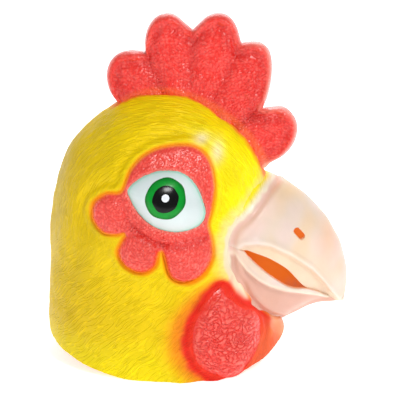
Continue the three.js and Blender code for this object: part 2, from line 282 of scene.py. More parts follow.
def signed_power(value, exponent):
    return np.sign(value) * np.abs(value) ** exponent


def hem_lift(s, turn):
    """The hem hangs lowest on its sides and rises to the front and the back."""
    return 26 * np.clip((np.cos(2 * math.pi * turn) ** 2 - 0.1) / 0.9, 0, 1) * s**6


def hood_points(s, turn, grow=0.0):
    """Points of the hood's surface: s runs from crown to hem, turn once around from the front."""
    back, front, middle, half, square, taper = np.moveaxis(between(HOOD_RINGS, s), -1, 0)
    c, q = np.cos(2 * math.pi * turn), np.sin(2 * math.pi * turn)
    along = signed_power(c, 2 / square)
    reach = np.where(c > 0, front - middle, middle - back)
    width = half * signed_power(q, 2 / square) * (1 - taper * np.maximum(along, 0))
    spread = np.minimum(1, s * 3)
    return np.stack([
        middle + reach * along + grow * c * spread,
        width + grow * q * spread,
        HEIGHT * (1 - s**CROWN_EASE) + grow * np.maximum(0, 1 - s * 1.3) + hem_lift(s, turn),
    ], -1)


def hood_side(x, z):
    """Half the hood's width at a place of its side."""
    back, front, middle, half, square, taper = np.moveaxis(between(HOOD_RINGS, down(z)), -1, 0)
    along = np.clip((x - middle) / np.where(x > middle, front - middle, middle - back), -0.999, 0.999)
    return half * (1 - np.abs(along) ** square) ** (1 / square) * (1 - taper * np.maximum(along, 0))


def grid_normals(points):
    """Normals of a grid that runs down and around, pointing out."""
    down_step = np.gradient(points, axis=0)
    around_step = np.gradient(points, axis=1)
    normal = np.cross(around_step, down_step)
    normal /= np.maximum(np.linalg.norm(normal, axis=-1, keepdims=True), 1e-9)
    return -normal


def closed_rings(name, points, apex=None):
    """A closed form from rings that run around, with a point or a flat cap at each end."""
    rows, columns = points.shape[:2]
    flat = points.reshape(-1, 3)
    ends = np.array([points[0].mean(0) if apex is None else apex, points[-1].mean(0)])
    faces = grid_faces(rows, columns, wrap=True)
    first, last = list(range(columns)), list(range((rows - 1) * columns, rows * columns))
    faces += fan_faces(rows * columns, first + first[:1], flip=True)
    faces += fan_faces(rows * columns + 1, last + last[:1])
    return outward(make_object(name, np.vstack([flat, ends]), faces))


def hood_form(name, grow, below=0.0, rows=70, columns=120):
    s = np.linspace(0, 1, rows + 1)[1:, None]
    points = hood_points(s, np.arange(columns)[None, :] / columns, grow)
    points[-1, :, 2] -= below
    return closed_rings(name, points, apex=(26, 0, HEIGHT + grow))


# ------------------------------------------------------------------ the beak's form
# Sections from the tip of the hook to the root inside the hood: ridge x and z, keel x and z, half
# width.
BEAK_SECTIONS = [
    (0.0, 227, 54, 227, 54, 0),
    (0.07, 229, 80, 216, 53.5, 10),
    (0.2, 226, 104, 207, 53, 18),
    (0.35, 218, 128, 199, 52, 27),
    (0.5, 202, 154, 187, 48, 37),
    (0.65, 175, 181, 170, 39, 49),
    (0.8, 139, 201, 152, 30, 61),
    (0.9, 112, 206, 136, 24, 68),
    (1.0, 84, 200, 118, 26, 68),
    (1.1, 56, 194, 100, 28, 66),
]


def beak_points(s, turn, grow=0.0):
    ridge_x, ridge_z, keel_x, keel_z, half = np.moveaxis(between(BEAK_SECTIONS, s), -1, 0)
    up_x, up_z = (ridge_x - keel_x) / 2, (ridge_z - keel_z) / 2
    length = np.maximum(np.hypot(up_x, up_z), 0.01)
    c, q = np.cos(2 * math.pi * turn), np.sin(2 * math.pi * turn)
    return np.stack([
        (ridge_x + keel_x) / 2 + up_x * c * (1 + grow / length),
        (half + grow) * q,
        (ridge_z + keel_z) / 2 + up_z * c * (1 + grow / length),
    ], -1)


# Lines of the side view.
BEAK_BASE = [(156, 214), (150, 203), (146, 197), (137.4, 190), (126.4, 177.3), (114.8, 165),
             (103.4, 156), (97.8, 146), (96.1, 135), (96.6, 124), (100, 106.5), (105.7, 94.5),
             (114.8, 75), (126.5, 59.4), (140, 46), (155, 34), (166, 20)]
MOUTH_LINE = [(60, 150, 0, 0), (109, 131, 0, 0), (116, 127, 2.5, 3), (125, 120.5, 5.5, 5.5),
              (140, 110, 9, 9), (158, 96.4, 9.6, 9.6), (170, 87, 5, 5.5), (180, 80, 0.5, 0.5),
              (194, 73, 0, 0), (212, 60, 0, 0), (260, 24, 0, 0)]
BILL_EDGE = [(104, 132), (112, 136), (126, 137), (140, 133.5), (161, 122), (186, 103), (199, 87.5),
             (212, 68.5), (221, 56)]
LIP_EDGE = [(103, 127), (107, 121), (115, 109), (127, 98), (140.5, 88.5), (157.5, 81), (174.5, 75),
            (197, 66.5), (206, 62)]

EYE_RING = [(-6, 200), (5, 211), (19, 217.5), (34, 219), (51, 215), (64, 201), (73, 176), (69, 163),
            (56, 157), (38, 157), (20, 164), (6, 176), (-2, 188)]
PATCH_RING = [(-12.5, 198), (-3, 219), (12, 234), (32, 241), (60, 240), (76, 226), (82, 200), (80, 178),
              (76, 161), (80, 143), (80, 124), (68, 108), (50, 104), (36, 112), (28, 138), (22, 122),
              (8, 115), (-9, 122), (-17, 136), (-12, 149), (-9, 155), (-18, 153.5), (-32, 155), (-43, 168),
              (-42, 184), (-28, 195)]
WATTLE_RING = [(90, 94), (74, 82), (62, 64), (57, 44), (60, 26), (70, 12), (87, 3), (106, 2),
               (122, 13), (132, 30), (134, 48), (127, 62), (114, 69), (99, 82)]
WATTLE_CREASE = [(84, 96), (70, 88), (56, 74), (47, 60), (44, 44), (46, 27), (57, 11), (70, 0)]
COMB_ROOT = [(-24, 272), (-1, 284), (26, 288), (47, 285), (69, 277), (91, 264), (112, 246), (127, 226),
             (137, 205)]
IRIS_CENTRE = (33, 192.5)
EYE_CENTRE = (33, 188)
PATCH_CENTRE = (30, 172)
NOSTRIL = (171, 143)
WATTLE_CENTRE = (94, 44)

eye_ring = curve_through(EYE_RING, True, 160)
patch_ring = curve_through(PATCH_RING, True, 240)
wattle_ring = curve_through(WATTLE_RING, True, 160)
base_line = curve_through(BEAK_BASE, False, 60)
crease_line = curve_through(WATTLE_CREASE, False, 40)
root_line = curve_through(COMB_ROOT, False, 40)

# ------------------------------------------------------------------ finishes
YELLOW = colour(240, 206, 0)
BRIGHT_YELLOW = colour(253, 236, 0)
OLIVE_YELLOW = colour(216, 180, 0)
CREAM = colour(245, 232, 205)
PINK_CREAM = colour(243, 206, 188)
CORAL = colour(244, 50, 40)
# deep red used as painted shade in creases and grooves
RED_IN_PAINTED_SHADE = colour(208, 16, 10)
# darker red used as painted shade in the comb's valleys and groove
DARKER_RED_IN_PAINTED_SHADE = colour(176, 14, 16)
# a pale coral tone, also used as painted highlight and painted reflection on grain tops and rims
PALE_CORAL_AND_HIGHLIGHT = colour(253, 132, 116)
ORANGE = colour(250, 150, 30)
AMBER = colour(236, 146, 56)
# amber latex darkened as painted shade, deep inside the beak
AMBER_IN_PAINTED_SHADE = colour(222, 116, 38)
BEIGE = colour(216, 190, 110)


def noise_node(nodes, scale, detail):
    noise = nodes.new("ShaderNodeTexNoise")
    noise.inputs["Scale"].default_value = scale
    noise.inputs["Detail"].default_value = detail
    return noise


def range_node(nodes, links, value, source, target):
    """Carries a value from one range to another."""
    mapped = nodes.new("ShaderNodeMapRange")
    for end, number in zip(("From Min", "From Max", "To Min", "To Max"), (*source, *target)):
        mapped.inputs[end].default_value = number
    links.new(value, mapped.inputs["Value"])
    return mapped


def attribute_node(nodes, name):
    attribute = nodes.new("ShaderNodeAttribute")
    attribute.attribute_name = name
    return attribute


def multiplied(nodes, links, paint, shade):
    """A colour times a shade, as a socket."""
    mixed = nodes.new("ShaderNodeMix")
    mixed.data_type = "RGBA"
    mixed.blend_type = "MULTIPLY"
    mixed.inputs["Factor"].default_value = 1
    links.new(paint, mixed.inputs["A"])
    links.new(shade, mixed.inputs["B"])
    return mixed.outputs["Result"]


def latex_material(name, roughness, grain, grain_depth, coat, subsurface=0.06, specular=0.45):
    """Painted latex: colour from the piece's paint, with painted shade in its hollows, fine grain in the
    skin, and a painted glow: an emission in the paint's colour where the piece is marked to glow.
    """
    material = bpy.data.materials.new(name)
    material.use_nodes = True
    nodes, links = material.node_tree.nodes, material.node_tree.links
    shader = nodes["Principled BSDF"]
    shader.inputs["Coat Weight"].default_value = coat
    shader.inputs["Coat Roughness"].default_value = 0.18
    shader.inputs["Subsurface Weight"].default_value = subsurface
    shader.inputs["Subsurface Radius"].default_value = (0.004, 0.002, 0.001)
    shader.inputs["Specular IOR Level"].default_value = specular
    paint = attribute_node(nodes, "paint")
    place = nodes.new("ShaderNodeTexCoord")
    cloud = noise_node(nodes, 28, 5)
    links.new(place.outputs["Object"], cloud.inputs["Vector"])
    shade = range_node(nodes, links, cloud.outputs["Fac"], (0.3, 0.7), (0.93, 1.05))
    mixed = multiplied(nodes, links, paint.outputs["Color"], shade.outputs["Result"])
    links.new(mixed, shader.inputs["Base Color"])
    skin = noise_node(nodes, grain, 4)
    links.new(place.outputs["Object"], skin.inputs["Vector"])
    gloss = range_node(nodes, links, skin.outputs["Fac"], (0.3, 0.7), (roughness - 0.08, roughness + 0.08))
    links.new(gloss.outputs["Result"], shader.inputs["Roughness"])
    raised = nodes.new("ShaderNodeBump")
    raised.inputs["Distance"].default_value = grain_depth
    raised.inputs["Strength"].default_value = 0.6
    links.new(skin.outputs["Fac"], raised.inputs["Height"])
    links.new(raised.outputs["Normal"], shader.inputs["Normal"])
    # painted glow: the inner faces give off light in their paint colour, standing in for light through the
    # thin latex
    painted_glow = attribute_node(nodes, "painted_glow")
    links.new(paint.outputs["Color"], shader.inputs["Emission Color"])
    links.new(painted_glow.outputs["Fac"], shader.inputs["Emission Strength"])
    return material


STROKE_WIDTH = 0.075  # how far the noise may be from its middle value and still be in a stroke


def carve_strokes(material):
    """Fine feather strokes: noise drawn out along each lie of the feathers, as thin raised lines with a
    painted highlight on them.
    """
    nodes, links = material.node_tree.nodes, material.node_tree.links
    strokes = None
    for lie, share in (("lie_crown", None), ("lie_neck", "neck_share"), ("lie_beak", "beak_share")):
        along = attribute_node(nodes, lie)
        lines = noise_node(nodes, 1, 1)
        links.new(along.outputs["Vector"], lines.inputs["Vector"])
        offset = nodes.new("ShaderNodeMath")
        offset.operation = "SUBTRACT"
        offset.inputs[1].default_value = 0.5
        links.new(lines.outputs["Fac"], offset.inputs[0])
        distance = nodes.new("ShaderNodeMath")
        distance.operation = "ABSOLUTE"
        links.new(offset.outputs[0], distance.inputs[0])
        ridge = range_node(nodes, links, distance.outputs[0], (STROKE_WIDTH, 0), (0, 1))
        ridge.interpolation_type = "SMOOTHSTEP"
        if share is None:
            strokes = ridge.outputs["Result"]
            continue
        weight = attribute_node(nodes, share)
        blend = nodes.new("ShaderNodeMix")
        links.new(weight.outputs["Fac"], blend.inputs["Factor"])
        links.new(strokes, blend.inputs["A"])
        links.new(ridge.outputs["Result"], blend.inputs["B"])
        strokes = blend.outputs["Result"]
    plain = attribute_node(nodes, "carved")
    depth = nodes.new("ShaderNodeMath")
    depth.operation = "MULTIPLY"
    links.new(strokes, depth.inputs[0])
    links.new(plain.outputs["Fac"], depth.inputs[1])
    shader = nodes["Principled BSDF"]
    fine = shader.inputs["Normal"].links[0].from_node
    raised = nodes.new("ShaderNodeBump")
    raised.inputs["Distance"].default_value = 0.0005
    raised.inputs["Strength"].default_value = 1
    links.new(depth.outputs[0], raised.inputs["Height"])
    links.new(fine.outputs["Normal"], raised.inputs["Normal"])
    links.new(raised.outputs["Normal"], shader.inputs["Normal"])
    # painted highlight: the base colour is lightened on the raised strokes
    shade = range_node(nodes, links, depth.outputs[0], (0, 1), (0.98, 1.1))
    painted = shader.inputs["Base Color"].links[0].from_socket
    links.new(multiplied(nodes, links, painted, shade.outputs["Result"]), shader.inputs["Base Color"])


hood_latex = latex_material("carved_yellow_latex", 0.42, 900, 0.0004, 0.0, 0.02, 0.16)
carve_strokes(hood_latex)
beak_latex = latex_material("satin_cream_latex", 0.38, 350, 0.0001, 0.14, 0.08, 0.35)
carve_strokes(beak_latex)
red_latex = latex_material("pebbled_red_latex", 0.27, 210, 0.0016, 0.36, 0.02, 0.36)
eye_gloss = latex_material("glossy_eye_paint", 0.2, 60, 0.0001, 0.2, 0.0, 0.16)


# ------------------------------------------------------------------ hood
HOOD_ROWS = 290  # rows of points from crown to hem on each half
HOOD_COLUMNS = 280  # points from front to back on each half


def feather_flow(x, z):
    """Which way the carved feathers lie in the side view: out from the beak, over the crown, down."""
    around_x, around_z = -(z - 150.0), (x - 30.0)
    size = np.hypot(around_x, around_z) + 1e-6
    turn_x, turn_z = around_x / size, around_z / size
    neck = smooth(175, 110, z)
    flow_x = turn_x * (1 - neck) - 0.78 * neck
    flow_z = turn_z * (1 - neck) - 0.62 * neck
    away_x, away_z = x - 150.0, (z - 120.0) * 0.8
    size = np.hypot(away_x, away_z) + 1e-6
    near_beak = bump(from_line(x, z, base_line), 26)
    flow_x = flow_x * (1 - near_beak) + away_x / size * near_beak
    flow_z = flow_z * (1 - near_beak) + away_z / size * near_beak
    size = np.hypot(flow_x, flow_z) + 1e-6
    return flow_x / size, flow_z / size


def feather_lies(points, side):
    """Across and along each lie of the feathers, in strokes, and how much each lie counts."""
    x, y, z = points.T
    wander = 1.6 * np.stack([waves(points, 34, 91), waves(points, 34, 92)], -1)
    around = np.arctan2(y * side, x - 26) * 112
    neck = np.where(np.abs(around) < 400, around, 0)
    from_eye = np.sqrt((x - 30) ** 2 + (z - 150) ** 2 + (96 - np.abs(y)) ** 2)
    crown = np.stack([from_eye, np.arctan2(30 - x, z - 150) * 90], -1) + wander
    low = np.stack([-0.62 * neck - 0.78 * z, 0.78 * neck - 0.62 * z], -1) + wander
    turn = np.arctan2((z - 120) * 0.8, x - 150)
    turn = np.where(turn < 0, turn + 2 * math.pi, turn)
    beak = np.stack([turn * 48, np.hypot(x - 150, z - 120)], -1) + wander
    lies = {}
    for name, field in (("lie_crown", crown), ("lie_neck", low), ("lie_beak", beak)):
        lies[name] = np.column_stack([field[:, 0] / 3.4, field[:, 1] / 26, 0 * x])
    return lies, smooth(175, 110, z), bump(from_line(x, z, base_line), 26)


def store_feathers(piece, carved):
    """Keeps the feathers' lies and how deeply each place is carved, for carve_strokes."""
    where = points_of(piece)
    lies, neck_share, beak_share = feather_lies(where, np.sign(where[:, 1].mean()) or 1.0)
    for lie, field in lies.items():
        store(piece, lie, field)
    store(piece, "neck_share", neck_share)
    store(piece, "beak_share", beak_share)
    store(piece, "carved", carved)


def feathers(points, normals, draw, count):
    """Height from 0 to 1 of short carved ridges that lie along the feather flow."""
    height = np.zeros(points.shape[:2])
    area = np.linalg.norm(np.cross(np.gradient(points, axis=0), np.gradient(points, axis=1)), axis=-1)
    chosen = draw.choice(area.size, count, p=(area / area.sum()).ravel())
    step_down = np.linalg.norm(np.gradient(points, axis=0), axis=-1)
    step_around = np.linalg.norm(np.gradient(points, axis=1), axis=-1)
    lengths = draw.uniform(7, 13, count)
    widths = draw.uniform(1.1, 1.5, count)
    heights = draw.uniform(0.5, 1.0, count)
    leans = draw.normal(0, 0.16, count)
    for index, length, width, tall, lean in zip(chosen, lengths, widths, heights, leans):
        i, j = divmod(int(index), points.shape[1])
        flow_x, flow_z = feather_flow(points[i, j, 0], points[i, j, 2])
        direction = np.array([flow_x, 0, flow_z])
        normal = normals[i, j]
        direction -= normal * (direction @ normal)
        direction /= np.linalg.norm(direction) + 1e-9
        side = np.cross(normal, direction)
        direction = direction * math.cos(lean) + side * math.sin(lean)
        side = np.cross(normal, direction)
        reach_i = int(length / max(step_down[i, j], 0.3)) + 2
        reach_j = int(length / max(step_around[i, j], 0.3)) + 2
        window = (slice(max(i - reach_i, 0), i + reach_i), slice(max(j - reach_j, 0), j + reach_j))
        offset = points[window] - points[i, j]
        along = offset @ direction / length
        across = (offset @ side - 0.8 * along**2) / width
        ridge = tall * np.exp(-across**2) * np.clip(1 - along**2, 0, 1) ** 0.7
        height[window] = np.maximum(height[window], ridge)
    return height


def ahead_of_base(x, z):
    """Distance ahead of the beak's base line in the side view, negative on the hood's side."""
    line_x = np.interp(z, base_line[::-1, 1], base_line[::-1, 0])
    return from_line(x, z, base_line) * np.where(x > line_x, 1, -1)


def hood_relief(x, y, z):
    """Folds and creases of the hood, as a height over its plain form."""
    side = smooth(0.25, 0.6, np.abs(y) / np.maximum(hood_side(x, z), 1))
    patch = from_outline(x, z, patch_ring)
    over_eye = smooth(140, 185, z) * side
    height = over_eye * (1.6 * bump(patch - 4, 3.2) - 2.0 * bump(patch - 10, 4) + 1.2 * bump(patch - 20, 8))
    wattle = from_outline(x, z, wattle_ring)
    height += side * 1.6 * bump(patch - 4, 3) * smooth(150, 130, z)
    height -= side * (3.2 * smooth(2, -2, patch) + 3.2 * smooth(1, -3, wattle) + 2.4 * bump(wattle - 3, 3.5))
    base = ahead_of_base(x, z)
    height += 2.0 * bump(base + 7, 5) * smooth(20, 40, z) - 2.6 * smooth(2, 6, base)
    crease = from_line(x, z, crease_line)
    height -= side * 3.0 * bump(crease, 6)
    height += side * 2.4 * bump(crease - 14, 7)
    return height + 4.5 * smooth(262, 284, z)


def hood_paint(points, groove):
    """The airbrushed colours of the hood, with painted light: a lighter front, a darker back, and painted
    shade off the carved strokes and in the groove round the wattle.
    """
    x, y, z = points.T
    across = np.abs(y)
    side = smooth(0.25, 0.6, across / np.maximum(hood_side(x, z), 1))
    paint = np.tile(YELLOW, (len(points), 1))
    cloud = waves(points, 55, 11)
    # painted light: the front is painted brighter as if lit and the back darker olive as if shaded, over
    # random clouds of tone
    paint = tint(paint, np.clip(smooth(30, 110, x) + 0.15 * cloud, 0, 1), BRIGHT_YELLOW)
    paint = tint(paint, 0.8 * np.clip(smooth(20, -90, x) + 0.2 * cloud, 0, 1), OLIVE_YELLOW)
    paint = tint(paint, 0.55 * smooth(60, 10, z), BRIGHT_YELLOW)
    # painted shade: olive off the raised feather strokes, so the strokes read lighter
    paint = tint(paint, 0.12 * smooth(0.45, 0.0, groove), OLIVE_YELLOW)
    parting = bump(x + 86 - 0.12 * (z - 150), 8) * smooth(90, 150, z)
    paint = tint(paint, 0.4 * parting, BEIGE)
    base = ahead_of_base(x, z) + 1.5 * waves(points, 14, 12)
    low = smooth(25, 60, z)
    paint = tint(paint, 0.35 * smooth(-20, -6, base) * low, CREAM)
    paint = tint(paint, 0.9 * smooth(-7, -3, base) * smooth(20, 40, z), CREAM)
    patch = from_outline(x, z, patch_ring)
    paint = tint(paint, 0.75 * smooth(3.5, 0, patch) * side, ORANGE)
    for spot_x, spot_z, wide, tall in ((68, 246, 7, 5), (84, 232, 6, 10)):
        spot = bump(np.hypot((x - spot_x) / wide, (z - spot_z) / tall), 1)
        paint = tint(paint, 0.6 * spot * side, CREAM)
    crease = from_line(x, z, crease_line)
    wattle = from_outline(x, z, wattle_ring)
    paint = tint(paint, 0.8 * bump(crease, 12) * side, colour(244, 120, 24))
    red = smooth(13, 5, wattle + 2 * waves(points, 16, 13)) * side
    paint = tint(paint, red, colour(240, 62, 40))
    # painted shade: deeper red in the groove sunk around the wattle
    paint = tint(paint, 0.8 * bump(wattle - 4, 4) * side, colour(224, 30, 14))
    throat = smooth(100, 132, x) * smooth(66, 30, z + 0.4 * (150 - x))
    paint = tint(paint, throat, colour(242, 104, 62))
    paint = tint(paint, 0.5 * bump(from_line(x, z, [(152, 40), (165, 10)]), 7), colour(250, 180, 120))
    comb = np.hypot(from_line(x, z, root_line), np.maximum(across - 15, 0))
    reach = 7 + 6 * smooth(90, 120, x)
    paint = tint(paint, 0.9 * smooth(reach, 1, comb + 1.5 * waves(points, 12, 14)), colour(249, 100, 44))
    return paint


def hood_half(side):
    """One side of the hood skin, from its front to its back parting, with its inner face."""
    draw = np.random.default_rng(20 + side)
    s = np.linspace(0, 1, HOOD_ROWS + 1)[1:, None]
    turn = side * np.linspace(0, 0.5, HOOD_COLUMNS)[None, :]
    outer = hood_points(s, turn)
    normals = grid_normals(outer)
    normals *= np.sign(((outer - [28, 0, 130]) * normals).sum(-1, keepdims=True))
    x, y, z = np.moveaxis(outer, -1, 0)
    groove = feathers(outer, normals, draw, 3600)
    plain = smooth(-10, -4, ahead_of_base(x, z)) + smooth(2, -2, from_outline(x, z, patch_ring))
    groove = groove * np.clip(1 - plain, 0, 1)
    lumps = 0.9 * waves(outer, 60, 31) + 0.35 * waves(outer, 18, 32)
    height = hood_relief(x, y, z) + 0.65 * groove + lumps * smooth(0, 12, z)
    seam = smooth(0, 9, np.abs(y))
    height = height * seam * smooth(0.03, 0.12, s)
    outer = outer + normals * height[..., None]
    outer[:, [0, -1], 1] = 0
    rows, columns = 60, 56
    inner = hood_points(np.linspace(0, 1, rows + 1)[1:, None],
                        side * np.linspace(0, 0.5, columns)[None, :], -2 * WALL)
    inner[:, [0, -1], 1] = 0
    count = HOOD_ROWS * HOOD_COLUMNS
    points = np.vstack([outer.reshape(-1, 3), inner.reshape(-1, 3),
                        [[26, 0, HEIGHT], [26, 0, HEIGHT - 2 * WALL]]])
    outer_id = np.arange(count).reshape(HOOD_ROWS, HOOD_COLUMNS)
    inner_id = np.arange(rows * columns).reshape(rows, columns) + count
    top, under = len(points) - 2, len(points) - 1
    faces = grid_faces(HOOD_ROWS, HOOD_COLUMNS)
    faces += grid_faces(rows, columns, start=count, flip=True)
    faces += fan_faces(top, outer_id[0].tolist(), flip=True) + fan_faces(under, inner_id[0].tolist())
    faces += zip_faces(outer_id[-1].tolist(), inner_id[-1].tolist())
    faces += zip_faces([top] + outer_id[:, 0].tolist(), [under] + inner_id[:, 0].tolist())
    faces += zip_faces([top] + outer_id[:, -1].tolist(), [under] + inner_id[:, -1].tolist(), flip=True)
    name = "hood_left" if side > 0 else "hood_right"
    piece = outward(make_object(name, points, faces))
    store(piece, "groove", np.concatenate([groove.ravel(), -np.ones(len(points) - count)]))
    opening = beak_form("face_opening", -2.2 * WALL)
    ahead = across_mask("ahead_of_base", np.vstack([base_line + [4, 0], [[300, 20], [300, 214]]]))
    piece = combine(piece, "DIFFERENCE", combine(opening, "INTERSECT", ahead))
    where, groove = points_of(piece), stored(piece, "groove")
    paint = hood_paint(where, np.clip(groove, 0, 1))
    inside = smooth(-0.2, -0.8, groove)
    base = ahead_of_base(where[:, 0], where[:, 2])
    within = np.clip(inside + smooth(2, 6, base), 0, 1)
    paint = tint(paint, within, AMBER)
    store(piece, "paint", paint)
    # painted glow on the hood's inner and hidden faces
    store(piece, "painted_glow", 0.12 * within)
    patch = from_outline(where[:, 0], where[:, 2], patch_ring)
    store_feathers(piece, smooth(-3, -9, base) * smooth(1, 5, patch) * (1 - within))
    return finished(piece, hood_latex, "head", "yellow_latex", "head_skin")


# ------------------------------------------------------------------ beak
def beak_form(name, grow, rows=76, columns=96):
    s = np.linspace(0, 1.1, rows + 1)[1:, None]
    points = beak_points(s, np.arange(columns)[None, :] / columns, grow)
    return closed_rings(name, points, apex=(227, 0, 54 - grow))


def across_mask(name, outline):
    """A flat outline in the side view, carried right across the mask."""
    outline = np.asarray(outline, float)
    count = len(outline)
    points = np.vstack([
        np.column_stack([outline[:, 0], np.full(count, y), outline[:, 1]]) for y in (-150, 150)])
    faces = [list(range(count)), list(range(2 * count - 1, count - 1, -1))]
    faces += [[i, i + count, (i + 1) % count + count, (i + 1) % count] for i in range(count)]
    return outward(make_object(name, points, faces))


def mouth_edge(side):
    points = [(x, z + side * (above if side > 0 else below)) for x, z, above, below in MOUTH_LINE]
    line = curve_through(points, False, 90)
    return line + [0, side * 0.15]


def beak_relief(x, z, upper):
    """Bill edge and recessed lip on the upper beak; ledge and hollow on the lower one."""
    edge = np.interp(x, *np.array(BILL_EDGE).T)
    ahead = smooth(104, 116, x) * smooth(224, 205, x)
    if upper:
        under = smooth(edge + 1.5, edge - 3.5, z) * ahead
        height = -4.6 * under + 1.4 * bump(z - edge - 2.5, 4) * ahead
    else:
        lip = np.interp(x, *np.array(LIP_EDGE).T)
        under = smooth(lip + 1, lip - 3, z) * ahead
        height = -1.0 * ahead - 3.4 * under + 1.2 * bump(z - lip - 2, 2.5) * ahead
    base = ahead_of_base(x, z)
    return height - 1.6 * bump(base - 4, 3) + 1.2 * bump(base - 10, 4)


def beak_paint(points, inside, upper):
    x, y, z = points.T
    cloud, fine = waves(points, 42, 41), waves(points, 16, 42)
    paint = np.tile(colour(232, 211, 193), (len(points), 1))
    paint = tint(paint, 0.6 * np.clip(cloud, 0, 1), colour(236, 204, 164))
    paint = tint(paint, 0.5 * np.clip(-cloud + 0.3 * fine, 0, 1), colour(240, 214, 208))
    base = ahead_of_base(x, z)
    paint = tint(paint, 0.8 * smooth(13, 4, base) * smooth(0, 3, base), colour(232, 176, 160))
    paint = tint(paint, 0.5 * smooth(30, 10, base), colour(238, 202, 186))
    paint = tint(paint, 0.6 * bump(x - 205, 14) * bump(z - 132, 26), colour(240, 190, 160))
    paint = tint(paint, 0.6 * bump(np.hypot((x - 160) / 1.6, z - 186), 10), colour(238, 206, 150))
    if upper:
        edge = np.interp(x, *np.array(BILL_EDGE).T)
        paint = tint(paint, 0.7 * smooth(edge + 1, edge - 3, z), colour(240, 212, 180))
        # painted highlight: a pale line on the raised bill edge
        paint = tint(paint, 0.5 * bump(z - edge - 2, 2.5), colour(250, 238, 226))
    else:
        lip = np.interp(x, *np.array(LIP_EDGE).T)
        # painted shade: darker pink in the recess under the lower lip
        paint = tint(paint, 0.9 * smooth(lip + 1, lip - 4, z), colour(218, 168, 148))
        # painted highlight: a pale line on the lip's raised ledge
        paint = tint(paint, 0.6 * bump(z - lip - 1.5, 2.5), colour(250, 234, 210))
    hood = tint(np.tile(BRIGHT_YELLOW, (len(points), 1)), smooth(-9, -2, base), CREAM)
    paint = tint(paint, smooth(1.5, -1.5, base + 1.5 * waves(points, 14, 12)), hood)
    # the inside is amber latex, darkened towards the back of the beak as painted shade
    return tint(paint, inside, tint(np.tile(AMBER, (len(points), 1)), smooth(150, 100, x), AMBER_IN_PAINTED_SHADE))


def beak_half(upper):
    rows, columns = 270, 300
    s = 1.1 * np.linspace(0, 1, rows + 1)[1:, None] ** 0.9
    turn = np.arange(columns)[None, :] / columns
    outer = beak_points(s, turn)
    wrapped = np.concatenate([outer[:, -1:], outer, outer[:, :1]], axis=1)
    normals = grid_normals(wrapped)[:, 1:-1]
    middle = beak_points(s, turn, -20)
    normals *= np.sign(((outer - middle) * normals).sum(-1, keepdims=True))
    x, y, z = np.moveaxis(outer, -1, 0)
    base = ahead_of_base(x, z)
    cheek = hood_side(x, z) + 4.4 * smooth(-3, 1, base) - 3.0
    cheek = cheek - 3.0 * smooth(-6, -12, base) + 0.8 * smooth(1, 6, base)
    wide = np.logaddexp(np.abs(y) / 2, np.where(np.abs(y) > 20, cheek, 0) / 2) * 2
    drape = smooth(20, 34, np.abs(y)) * smooth(140, 120, x)
    outer[..., 1] = y * (1 - drape) + np.sign(y) * wide * drape
    off_ridge = smooth(2, 14, np.abs(y))
    height = beak_relief(x, z, upper) * off_ridge + 0.35 * waves(outer, 34, 43) * smooth(0, 0.15, s)
    outer = outer + normals * height[..., None]
    name = "beak_upper_skin" if upper else "beak_lower_skin"
    piece = closed_rings(name, outer, apex=(227, 0, 54))
    hollow = beak_form("beak_hollow", -3 * WALL, 60, 90)
    edge = mouth_edge(1 if upper else -1)
    beyond = -400 if upper else 400
    other = across_mask("other_half", np.vstack([edge, [[260, beyond], [60, beyond]]]))
    tools = [hollow, other, hood_form("behind_base", -4.5)]
    if upper:
        tools.append(nostril_form())
    piece = combine(piece, "DIFFERENCE", *tools)
    where = points_of(piece)
    depth = beak_depth(where)
    within = smooth(6.4, 8.0, depth)
    store(piece, "paint", beak_paint(where, within, upper))
    # painted glow inside the beak
    store(piece, "painted_glow", 0.3 * within)
    store_feathers(piece, smooth(0, -6, ahead_of_base(where[:, 0], where[:, 2])) * (1 - within))
    if upper:
        return finished(piece, beak_latex, "head", "cream_latex", "upper_beak")
    finished(piece, beak_latex, None, "cream_latex", "lower_beak")
    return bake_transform(piece)


def beak_depth(points):
    """How far a point lies inside the beak's plain form, across its section."""
    s = np.linspace(0.02, 1.1, 220)
    ridge_x, ridge_z, keel_x, keel_z, half = between(BEAK_SECTIONS, s).T
    x, y, z = points.T
    middle_x, middle_z = (ridge_x + keel_x) / 2, (ridge_z + keel_z) / 2
    up_x, up_z = (ridge_x - keel_x) / 2, (ridge_z - keel_z) / 2
    length = np.hypot(up_x, up_z)
    off = np.abs((x[:, None] - middle_x) * up_z / length - (z[:, None] - middle_z) * up_x / length)
    nearest = off.argmin(1)
    up = ((x - middle_x[nearest]) * up_x[nearest] + (z - middle_z[nearest]) * up_z[nearest]) / length[nearest]
    share = np.hypot(up / length[nearest], y / half[nearest])
    return (1 - share) * half[nearest]


def nostril_form():
    """A slanting slit with round ends, right across the beak."""
    half_length, radius = 4.2, 3.6
    angle = math.radians(-48)
    outline = []
    for end in (1, -1):
        for k in range(13):
            turn = angle + (k / 12 - 0.5) * math.pi + (0 if end > 0 else math.pi)
            outline.append((NOSTRIL[0] + end * half_length * math.cos(angle) + radius * math.cos(turn),
                            NOSTRIL[1] + end * half_length * math.sin(angle) + radius * math.sin(turn)))
    return across_mask("nostril", outline)


# ------------------------------------------------------------------ pads on the hood's side
def in_skin(x, z):
    """How far over the hood's plain side the back of a pad lies: a little inside the skin."""
    return -2.2


